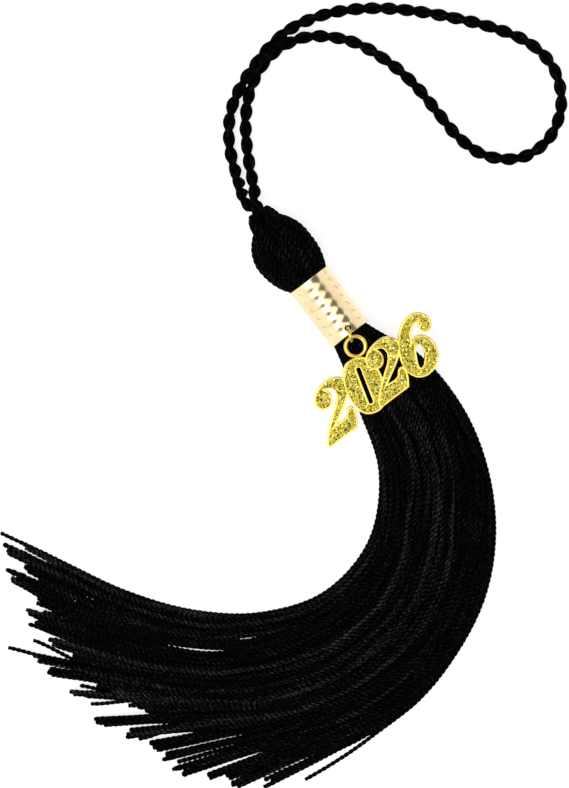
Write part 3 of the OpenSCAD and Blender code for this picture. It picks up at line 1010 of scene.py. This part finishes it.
@dataclass
class Skirt:
    """The fringed skirt: seven locks of strands, and free strands in the grooves between them."""

    place: Place
    finishes: Finishes
    form: SkirtForm = field(default_factory=SkirtForm)
    strand: Yarn = field(default_factory=lambda: Yarn(radius=0.66, groove=0.3, step=0.45))
    diameter: float = 1.3
    locks: int = 7
    columns: int = 4
    layers: int = 5
    edge: float = 0.95
    edge_strands: tuple = ((0.95, 0), (0.955, 2), (0.95, 4), (0.985, 1), (0.98, 2), (0.985, 3),
                           (0.93, 3), (0.995, 2))
    start: float = -0.016
    tight: float = 0.7
    relax: float = 20.0
    mouth_share: float = 0.93
    swell: float = 1.16
    under_fill: float = 1.25
    samples: int = 420
    waves: tuple = ((0.55, 63), (0.3, 31), (0.14, 17))
    wave_height: float = 0.6
    stray_share: float = 0.12
    stray_reach: float = 2.4
    stray_lift: float = 0.6
    stray_from: float = 30
    tip_margin: float = 0.006
    tip_scatter: float = 0.016
    aim_scatter: float = 0.012
    gather_from: float = 0.86
    gather_over: float = 0.13
    turn_direction: tuple = (-0.25, -0.97)
    turn_range: tuple = (-0.5, 7.0)
    tips: tuple = (
        Tip(-1.0, 0.965, 0.3), Tip(-0.93, 1.0, 0.3), Tip(-0.86, 0.965, 0.4),
        Tip(-0.75, 1.0, 0.4), Tip(-0.66, 0.962), Tip(-0.54, 0.985, 0.4), Tip(-0.45, 0.985),
        Tip(-0.35, 0.98, 0.4), Tip(-0.24, 0.955), Tip(-0.14, 1.025, 0.35),
        Tip(-0.05, 1.025, 0.35), Tip(0.03, 0.97, 0.4), Tip(0.13, 1.022, 0.35),
        Tip(0.22, 0.96, 0.4), Tip(0.35, 1.047, 0.3), Tip(0.45, 1.037, 0.3),
        Tip(0.57, 1.027, 0.4), Tip(0.65, 1.05, 0.35), Tip(0.75, 1.057, 0.3),
        Tip(0.86, 1.042, 0.4), Tip(0.93, 1.035, 0.35), Tip(1.0, 1.02, 0.3))

    def groove_at(self, i: int) -> float:
        """Place across of the groove before lock i."""
        return -self.edge + i * 2 * self.edge / self.locks

    def free_strands(self) -> list[FreeStrand]:
        """The free strands, from the inner edge to the outer one."""
        low, top = Lie.LOW, Lie.TOP
        ends = [(1, low, -0.8, 0.98), (1, top, -0.72, 1), (2, low, -0.52, 0.99),
                (2, top, -0.43, 1), (3, low, -0.3, 1.01), (3, top, -0.19, 1.066),
                (4, low, 0.04, 1), (4, top, 0.2, 1.02), (5, low, 0.36, 1.01),
                (5, top, 0.5, 1.03), (6, low, 0.63, 1.03), (6, top, 0.76, 1.02)]
        found = [FreeStrand("strand_inner", -1.01, -1, 1.01, top)]
        for number, lie, tip_u, tip_f in ends:
            found.append(FreeStrand(f"strand_{number}_{lie.value}", self.groove_at(number),
                                    tip_u, tip_f, lie))
        found.append(FreeStrand("strand_outer", 1.01, 1.065, 0.988, top, 0.8))
        return found

    def build(self) -> None:
        """Builds the free strands, then the locks."""
        rng = np.random.default_rng(SEED)
        for free in self.free_strands():
            self._free(free, rng)
        for lock in range(self.locks):
            self._lock(lock, rng)

    def _radii(self, route: np.ndarray) -> np.ndarray:
        """Shares of the strand's radius: tighter in the band's mouth."""
        return mix(self.tight, 1.0, smooth((lengths(route) - 3) / self.relax))

    def _full(self, route: np.ndarray) -> np.ndarray:
        """Shares of the radius in a lock, where the yarns swell as they spread."""
        return self._radii(route) * mix(1.0, self.swell, smooth(lengths(route) / 120 - 0.5))

    def _join(self, piece: bpy.types.Object) -> None:
        """Puts a piece's place into its mesh."""
        across, ahead = self.turn_direction
        for reach in self.turn_range:
            x, y, _ = self.place.put([across * reach, ahead * reach, 0])
        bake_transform(piece)

    def _free(self, free: FreeStrand, rng: np.random.Generator) -> None:
        """Args:
            free: where it lies and ends.
            rng: source of its twist.
        """
        r = self.diameter / 2
        f = np.linspace(self.start, free.tip_f, self.samples)
        turn = smooth((f - free.leave) / (free.tip_f - free.leave))
        gather = smooth(f / 0.1)
        groove = mix(min(0.88, max(-0.88, free.groove)), free.groove, gather)
        under, over = self.form.heights(groove, f)
        high = over - r if free.lie is Lie.TOP else under + r
        z = np.maximum(r, mix(high, r, turn))
        flat = self.form.level(mix(groove, free.tip_u, turn), f)
        route = np.column_stack([flat, z])
        piece = YarnPiece("yarn_" + free.name, self.place, self.strand)
        made = piece.make([route], [self._radii(route)], rng)
        dress(made, self.finishes.yarn)
        self._join(made)
        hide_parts(free.name)
        path = self.place.put(even(route, 120))
        self.diameter * MM

    def _lock(self, lock: int, rng: np.random.Generator) -> None:
        """Builds one lock of strands.

        Args:
            lock: number of the lock, from 0 at the inner edge.
            rng: source of its wander.
        """
        routes, radii = [], []
        pitch = 2 * self.edge / self.locks / self.columns
        for column in range(self.columns):
            for layer in range(self.layers):
                if column == 0 and layer == 0:
                    continue
                shift = 2 * layer % self.layers / self.layers
                u = self.groove_at(lock) + (column + shift) * pitch
                route = self._route(u, lock * self.columns + column, layer, rng)
                fill = self.under_fill if layer < self.layers // 2 else 1
                routes.append(route)
                radii.append(self._full(route) * fill)
        for side, end in ((-1, 0), (1, self.locks - 1)):
            if lock != end:
                continue
            for u, layer in self.edge_strands:
                column = 0 if side < 0 else self.locks * self.columns - 1
                route = self._route(side * u, column, layer, rng)
                routes.append(route)
                radii.append(self._full(route))
        piece = YarnPiece(f"skirt_lock_{lock + 1}", self.place, self.strand)
        made = piece.make(routes, radii, rng)
        dress(made, self.finishes.yarn)
        self._join(made)
        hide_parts(f"lock_{lock + 1}")
        if lock == self.locks // 2:
            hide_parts("skirt_root")

    def _route(self, u: float, column: int, layer: int,
               rng: np.random.Generator) -> np.ndarray:
        """Finds the way of one strand of a lock.

        Args:
            u: its place across, once the skirt has opened.
            column: its column across the whole skirt.
            layer: its layer from the table up.
            rng: source of its wander.

        Returns:
            Points in millimetres.
        """
        form, r = self.form, self.diameter / 2
        tip = min(self.tips, key=lambda t: abs(t.u - u) + rng.uniform(0, 0.08))
        shorter = self.tip_margin if layer % 2 else 0
        tip_f = tip.f + self.tip_margin - abs(rng.normal(0, self.tip_scatter)) - shorter
        f = np.linspace(self.start, tip_f, self.samples)
        far = f * form.run
        opened = smooth(far / self.relax)
        mouth_u = self.mouth_share * u
        mouth_t = (3 * layer + column % 3 + 0.5) / (3 * self.layers)
        waves = np.zeros((2, len(f)))
        for size, wave in self.waves:
            for axis in (0, 1):
                phase = rng.uniform(0, TURN)
                waves[axis] += rng.normal(0, size) * np.sin(far / wave * TURN + phase)
        grow = smooth(far / 40)
        strays = rng.uniform() < self.stray_share
        drift = 0
        if strays:
            drift = rng.normal(0, self.stray_reach) * smooth((far - self.stray_from) / 90)
        across = mix(mouth_u, u, opened)
        across = np.clip(across + (waves[0] * grow + drift) / form.half_width(f), -1, 1)
        gather = smooth((f - self.gather_from) / self.gather_over)
        aim = tip.u + (u - tip.u) * tip.spread + rng.normal(0, self.aim_scatter)
        across = mix(across, aim, gather)
        under, over = form.heights(np.clip(across, -1, 1), f)
        share = mix(mouth_t, layer / (self.layers - 1), opened)
        z = mix(under + r, over - r, share) + waves[1] * grow * self.wave_height * (1 - gather)
        if strays and layer == self.layers - 1:
            z += self.stray_lift * smooth((far - self.stray_from) / 40) * (1 - gather)
        lowest = r * self.under_fill if layer < self.layers // 2 else r
        return np.column_stack([form.level(across, f), np.maximum(lowest, z)])


# ---------------------------------------------------------------- yarn head

@dataclass
class YarnHead:
    """The ball of folded yarn above the band, and the rolled collar round the knot."""

    place: Place
    finishes: Finishes
    radius: float = 9.2
    length: float = 20.0
    band_length: float = 19.8
    strands: int = 40
    yarn: Yarn = field(default_factory=lambda: Yarn(radius=0.8, turn=3.4, step=0.36,
                                                    groove=0.36))
    lean: float = 0.7
    arches: int = 22
    open_front: float = 0.7
    shape: tuple = ((0.68, 0), (0.84, 0.12), (0.955, 0.28), (1, 0.48), (0.98, 0.62),
                    (0.89, 0.77), (0.74, 0.89), (0.52, 1))
    crown_in: tuple = ((3.3, 20.7), (1.6, 21.0))
    arch_middle: tuple = (3.0, 1.1)
    inner_arch: float = 0.45
    arch: tuple = ((4.3, -0.9), (4.25, 0.5), (3.8, 2.2), (3.0, 3.3), (2.2, 3.1), (1.8, 1.9),
                   (1.8, 0.6))

    def build(self) -> None:
        """Builds the folded yarn and the collar."""
        rng = np.random.default_rng(SEED + 1)
        self._fold(rng)
        self._collar(rng)

    def _round(self, radius: np.ndarray, y: np.ndarray, angle: np.ndarray) -> np.ndarray:
        """Points round the axis at a radius, a distance along and an angle."""
        return np.column_stack([radius * np.cos(angle), y,
                                self.place.axis + radius * np.sin(angle)])

    def _fold(self, rng: np.random.Generator) -> None:
        """Lays the strands over the ball, from the band up to the collar.

        Args:
            rng: source of their unevenness.
        """
        share = np.linspace(0, 1, 60)
        form = along(self.shape, share)
        routes, radii = [], []
        for i in range(self.strands):
            angle = (i + rng.uniform(-0.2, 0.2)) / self.strands * TURN
            slant = 0.16 * (share - 0.5) + 0.05 * np.sin(share * TURN + rng.uniform(0, TURN))
            outside = form[:, 0] * self.radius
            pitch = TURN * outside / self.strands
            fat = np.minimum(1, 0.62 * pitch / self.yarn.radius)
            proud = rng.uniform(-0.12, 0.2) + 0.12 * np.sin(share * 9 + rng.uniform(0, TURN))
            reach = outside - self.yarn.radius * fat + proud
            y = self.band_length + form[:, 1] * self.length
            route = self._round(reach, y, angle + slant)
            route[:, 0] -= self.lean * np.sin(share * math.pi)
            route[:, 2] = np.maximum(route[:, 2], self.yarn.radius * fat)
            into = self._round(np.array([5.0, 5.1]), self.band_length - np.array([1.6, 0.5]),
                               np.full(2, angle - 0.08))
            close = self._round(np.array([r for r, _ in self.crown_in]),
                                self.band_length + np.array([y for _, y in self.crown_in]),
                                np.full(2, angle + slant[-1] + 0.1))
            routes.append(np.vstack([into, route, close]))
            radii.append(np.concatenate([[0.55, 0.55], fat, [0.5, 0.4]]))
        made = YarnPiece("head_folded_yarn", self.place, self.yarn).make(routes, radii, rng)
        dress(made, self.finishes.head)
        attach(made, Body.HEAD.value)
        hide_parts("head_mantle")

    def _collar(self, rng: np.random.Generator) -> None:
        """Rolls short arches of yarn over the crown.

        Args:
            rng: source of their unevenness.
        """
        crown = self.band_length + self.length
        share = np.linspace(0, 1, 40)
        form = along(self.arch, share)
        routes = []
        for i in range(self.arches):
            angle = (i + rng.uniform(-0.25, 0.25)) / self.arches * TURN
            if math.sin(angle) > self.open_front:
                continue
            lift = 0.95 + 0.2 * abs(math.cos(angle)) + rng.uniform(-0.2, 0.16)
            wide = 1 + rng.uniform(-0.06, 0.06)
            slant = 0.35 * (share - 0.5) + rng.uniform(-0.1, 0.1)
            routes.append(self._round(form[:, 0] * wide, crown + form[:, 1] * lift,
                                      angle + slant))
            small = mix(np.array(self.arch_middle), form, self.inner_arch)
            routes.append(self._round(small[:, 0], crown + small[:, 1] * lift, angle - slant))
        yarn = Yarn(radius=0.66, turn=2.8, step=0.3, groove=0.36)
        made = YarnPiece("collar_rolled_yarn", self.place, yarn).make(routes, None, rng)
        dress(made, self.finishes.head)
        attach(made, Body.HEAD.value)
        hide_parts("head_collar")


# ---------------------------------------------------------------- metal

@dataclass
class Band:
    """The ribbed metal band. Sizes are in millimetres."""

    place: Place
    finishes: Finishes
    diameter: float = 13.2
    length: float = 19.8
    wall: float = 0.35
    ribs: int = 7
    rib_height: float = 0.3
    bead: float = 0.8
    rib_steps: int = 8
    hole: float = 1.9
    hole_y: float = 1.78
    hole_x: float = 0.4

    def build(self) -> None:
        """Turns the band, drills the link's hole and dresses it."""
        bore = self.diameter / 2 - self.rib_height - self.wall
        half = self.bead / 2
        rows = [(bore, half)]
        for angle in np.radians(np.arange(-150, 1, 30)):
            rows.append((bore + half + half * math.cos(angle), half + half * math.sin(angle)))
        pitch = self.length / self.ribs
        for i in range(self.ribs):
            for k in range(self.rib_steps + 1):
                t = 2 * k / self.rib_steps - 1
                y = (i + k / self.rib_steps) * pitch
                if half * 1.9 < y < self.length - half * 1.9 and (k or i == 0):
                    rows.append((self.diameter / 2 - self.rib_height * t * t, y))
        for angle in np.radians(np.arange(0, 151, 30)):
            rows.append((bore + half + half * math.cos(angle),
                         self.length - half + half * math.sin(angle)))
        rows.append((bore, self.length - half))
        profile = [(r * MM, y * MM) for r, y in rows]
        centre = (self.place.x, self.place.y, self.place.axis * MM)
        shell = Bench.turn("band_shell", profile, centre, 160)
        self._drill(shell)
        Bench.smooth(shell, 35)
        dress(shell, self.finishes.band)
        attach(shell, Body.HEAD.value)
        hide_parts("ferrule")

    def _drill(self, shell: bpy.types.Object) -> None:
        """Cuts the hole that the link passes through.

        Args:
            shell: the turned band.
        """
        Bench.clear()
        x, y, _ = self.place.put([self.hole_x, self.hole_y, 0])
        z = (self.place.axis + self.diameter / 2) * MM
        bpy.ops.mesh.primitive_cylinder_add(vertices=40, radius=self.hole / 2 * MM,
                                            depth=self.diameter / 4 * MM, location=(x, y, z))
        drill = bpy.context.active_object
        Bench.modify(shell, "BOOLEAN", operation="DIFFERENCE", object=drill, solver="EXACT")
        bpy.data.objects.remove(drill)


@dataclass
class Link:
    """The wire ring between the band and the charm. Sizes are in millimetres."""

    place: Place
    finishes: Finishes
    diameter: float = 5.0
    wire: float = 0.95
    turned: float = 20.0
    x: float = -0.25
    y: float = 0.0
    z: float = 16.35
    seam: float = 0.86
    seam_turn: float = 30.0

    def build(self) -> None:
        """Bends the ring, with the seam where its ends meet, and dresses it."""
        Bench.clear()
        where = self.place.put([self.x, self.y, self.z])
        middle = (self.diameter - self.wire) / 2 * MM
        seam_turn = math.radians(self.seam_turn)
        bpy.ops.mesh.primitive_torus_add(
            major_radius=middle, minor_radius=self.wire / 2 * MM, major_segments=96,
            minor_segments=24)
        ring = bpy.context.active_object
        ring.name = "link_wire"
        bpy.ops.object.mode_set(mode="EDIT")
        bpy.ops.mesh.select_all(action="DESELECT")
        bpy.ops.object.mode_set(mode="OBJECT")
        for vertex in ring.data.vertices:
            at = math.atan2(vertex.co.y, vertex.co.x)
            vertex.select = abs(at - seam_turn) < math.radians(1)
        bpy.ops.object.mode_set(mode="EDIT")
        seam_at = (middle * math.cos(seam_turn), middle * math.sin(seam_turn), 0)
        bpy.ops.transform.resize(value=(self.seam,) * 3, center_override=seam_at)
        bpy.ops.object.mode_set(mode="OBJECT")
        ring.rotation_euler = (0, math.pi / 2, math.radians(-self.turned))
        ring.location = where.tolist()
        Bench.settle(ring)
        Bench.smooth(ring, 60)
        dress(ring, self.finishes.link)
        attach(ring, Body.LINK.value)
        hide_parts("link_ring")


@dataclass
class Charm:
    """The four numerals with their eye, rims and glitter."""

    place: Place
    finishes: Finishes
    nodes: dict
    rim_round: float = 0.16
    flake: float = 0.24
    flakes_per_mm2: float = 4.2
    flake_sizes: tuple = (0.6, 1.15)
    flake_tilt: float = 0.4
    numerals: tuple = ("first_two", "zero", "second_two", "six")

    def build(self) -> None:
        """Dresses the casting and the glitter, and scatters flakes on it."""
        body = Bench.copy_node("charm_body", self.nodes["charm_casting"])
        Bench.modify(body, "BEVEL", width=self.rim_round * MM, segments=3, limit_method="ANGLE",
                     angle_limit=math.radians(50), use_clamp_overlap=True)
        Bench.smooth(body, 40)
        dress(body, self.finishes.charm)
        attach(body, Body.CHARM.value)
        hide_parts("charm_casting")
        chip = self._chip()
        rng = np.random.default_rng(SEED + 2)
        for numeral in self.numerals:
            node = self.nodes["glitter_" + numeral]
            dress(node, self.finishes.glitter)
            self._scatter(numeral, node, chip, rng)
        bpy.data.meshes.remove(chip)

    def _chip(self) -> bpy.types.Mesh:
        """Models one flake: a thin six-sided chip with a raised middle.

        Returns:
            Its mesh, with a radius of 1.
        """
        Bench.clear()
        bpy.ops.mesh.primitive_cylinder_add(vertices=6, radius=1, depth=0.25)
        chip = bpy.context.active_object
        bpy.ops.object.mode_set(mode="EDIT")
        bpy.ops.mesh.select_all(action="DESELECT")
        bpy.ops.mesh.select_mode(type="FACE")
        bpy.ops.object.mode_set(mode="OBJECT")
        for face in chip.data.polygons:
            face.select = face.normal.z > 0.9
        bpy.ops.object.mode_set(mode="EDIT")
        bpy.ops.mesh.inset(thickness=0.3, depth=0.08)
        bpy.ops.mesh.select_mode(type="VERT")
        bpy.ops.object.mode_set(mode="OBJECT")
        mesh = chip.data
        bpy.data.objects.remove(chip)
        return mesh

    def _scatter(self, numeral: str, node: bpy.types.Object, chip: bpy.types.Mesh,
                 rng: np.random.Generator) -> None:
        """Copies the chip all over the top of one numeral's glitter.

        Args:
            numeral: which numeral.
            node: its poured glitter.
            chip: the flake.
            rng: source of places and tilts.
        """
        corners = np.array([v.co for v in node.data.vertices])
        node.data.calc_loop_triangles()
        faces = np.array([t.vertices for t in node.data.loop_triangles])
        a, b, c = (corners[faces[:, k]] for k in range(3))
        normal = np.cross(b - a, c - a)
        area = np.linalg.norm(normal, axis=1) / 2
        up = normal[:, 2] > 0.9 * 2 * area
        a, b, c, area = a[up], b[up], c[up], area[up]
        count = int(area.sum() / MM ** 2 * self.flakes_per_mm2)
        pick = rng.choice(len(area), count, p=area / area.sum())
        s, t = rng.uniform(size=(2, count, 1))
        flip = s + t > 1
        s, t = np.where(flip, 1 - s, s), np.where(flip, 1 - t, t)
        at = a[pick] + s * (b - a)[pick] + t * (c - a)[pick]
        form = np.array([v.co for v in chip.vertices])
        size = rng.uniform(*self.flake_sizes, (count, 1, 1)) * self.flake * MM
        tilt = rng.normal(0, self.flake_tilt, (2, count))
        turn = rng.uniform(0, TURN, count)
        cos, sin = np.cos(turn)[:, None], np.sin(turn)[:, None]
        x = form[None, :, 0] * cos - form[None, :, 1] * sin
        y = form[None, :, 0] * sin + form[None, :, 1] * cos
        z = form[None, :, 2] + x * tilt[0][:, None] + y * tilt[1][:, None]
        points = np.stack([x, y, z], axis=-1) * size + at[:, None]
        faces = [tuple(p.vertices) for p in chip.polygons]
        many = [tuple(v + n * len(form) for v in face) for n in range(count) for face in faces]
        mesh = bpy.data.meshes.new("flakes_" + numeral)
        mesh.from_pydata(points.reshape(-1, 3).tolist(), [], many)
        tone = mesh.attributes.new("tone", "FLOAT", "POINT")
        tone.data.foreach_set("value", np.repeat(rng.uniform(0, 1, count), len(form)))
        piece = show("flakes_" + numeral, mesh)
        dress(piece, self.finishes.flakes)
        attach(piece, Body.CHARM.value)


# ---------------------------------------------------------------- studio

@dataclass
class Studio:
    """Camera, table top and soft lights, in metres."""

    aim: tuple = (0.02225, 0.02143)
    height: float = 1.15
    turned: float = -37.0
    frame_height: float = 0.2285
    sensor: float = 36.0
    air: float = 0.16
    panels: tuple = (("panel_key", (-0.6, 0.0, 1.6), 1.5, 0.95, 2.1, 0),
                     ("panel_left", (-1.35, 0.0, 0.75), 2.6, 1.7, 1.02, 0),
                     ("panel_right", (1.38, 0.0, 0.557), 2.6, 1.2, 0.92, 0),
                     ("panel_far", (0.17, 0.86, 1.2), 1.8, 0.84, 1.4, 52),
                     ("panel_near", (0.17, -0.86, 1.2), 1.8, 0.84, 1.4, -52))

    def place_camera(self) -> None:
        """Looks straight down at the tassel, turned as it is held."""
        data = bpy.data.cameras.new("camera")
        data.sensor_width = self.sensor
        data.lens = self.sensor * self.height / self.frame_height
        data.clip_end = 10
        camera = show("camera", data)
        camera.location = (*self.aim, self.height)
        camera.rotation_euler = (0, 0, math.radians(self.turned))
        bpy.context.scene.camera = camera

    def set_table(self) -> None:
        """Lays the plain pale table top."""
        Bench.clear()
        bpy.ops.mesh.primitive_plane_add(size=6)
        table = bpy.context.active_object
        table.name = "table_top"
        table.data.materials.append(TableFinish("pale_table").material())

    def set_lights(self) -> None:
        """Hangs soft panels above, with a darker gap between them."""
        world = bpy.data.worlds.new("studio_air")
        world.use_nodes = True
        background = world.node_tree.nodes["Background"]
        background.inputs["Color"].default_value = (1, 0.92, 0.8, 1)
        background.inputs["Strength"].default_value = self.air
        bpy.context.scene.world = world
        for panel in self.panels:
            self._panel(*panel)

    def _panel(self, name: str, where: tuple, wide: float, high: float,
               bright: float, spin: float) -> None:
        """Hangs one panel that faces the tassel, or the table under it if it is spun.

        Args:
            name: name of the light.
            where: its place.
            wide: its level side.
            high: its other side.
            bright: how bright its face looks.
            spin: degrees that a level panel is turned, or 0 for a panel that is tipped.
        """
        data = bpy.data.lights.new(name, "AREA")
        data.shape = "RECTANGLE"
        data.size = wide
        data.size_y = high
        data.energy = bright * math.pi * wide * high
        light = show(name, data)
        light.location = where
        if spin:
            light.rotation_euler = (0, 0, math.radians(spin))
        else:
            light.rotation_euler = (-Vector(where)).to_track_quat("-Z", "Y").to_euler()


# ---------------------------------------------------------------- the whole

def dress_inside(nodes: dict, finishes: Finishes) -> None:
    """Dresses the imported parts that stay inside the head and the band.

    Args:
        nodes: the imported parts.
        finishes: the finishes.
    """
    for name in ("head_core", "fold_tie", "neck_bundle", "neck_binding"):
        dress(nodes[name], finishes.inner)


def main() -> None:
    """Builds the studio, the cords, and then the other pieces in order."""
    logging.basicConfig(level=logging.INFO, format="%(message)s")
    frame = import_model()
    nodes = frame["nodes"]
    place = Place.of_band()
    studio = Studio()
    studio.place_camera()
    finishes = Finishes()
    HangingLoop(place, finishes).build()
    Skirt(place, finishes).build()
    YarnHead(place, finishes).build()
    Band(place, finishes).build()
    Link(place, finishes).build()
    Charm(place, finishes, nodes).build()
    dress_inside(nodes, finishes)
    studio.set_table()
    studio.set_lights()
    bpy.context.scene.view_settings.view_transform = "Standard"
    bpy.context.view_layer.update()


if __name__ == "__main__":
    main()
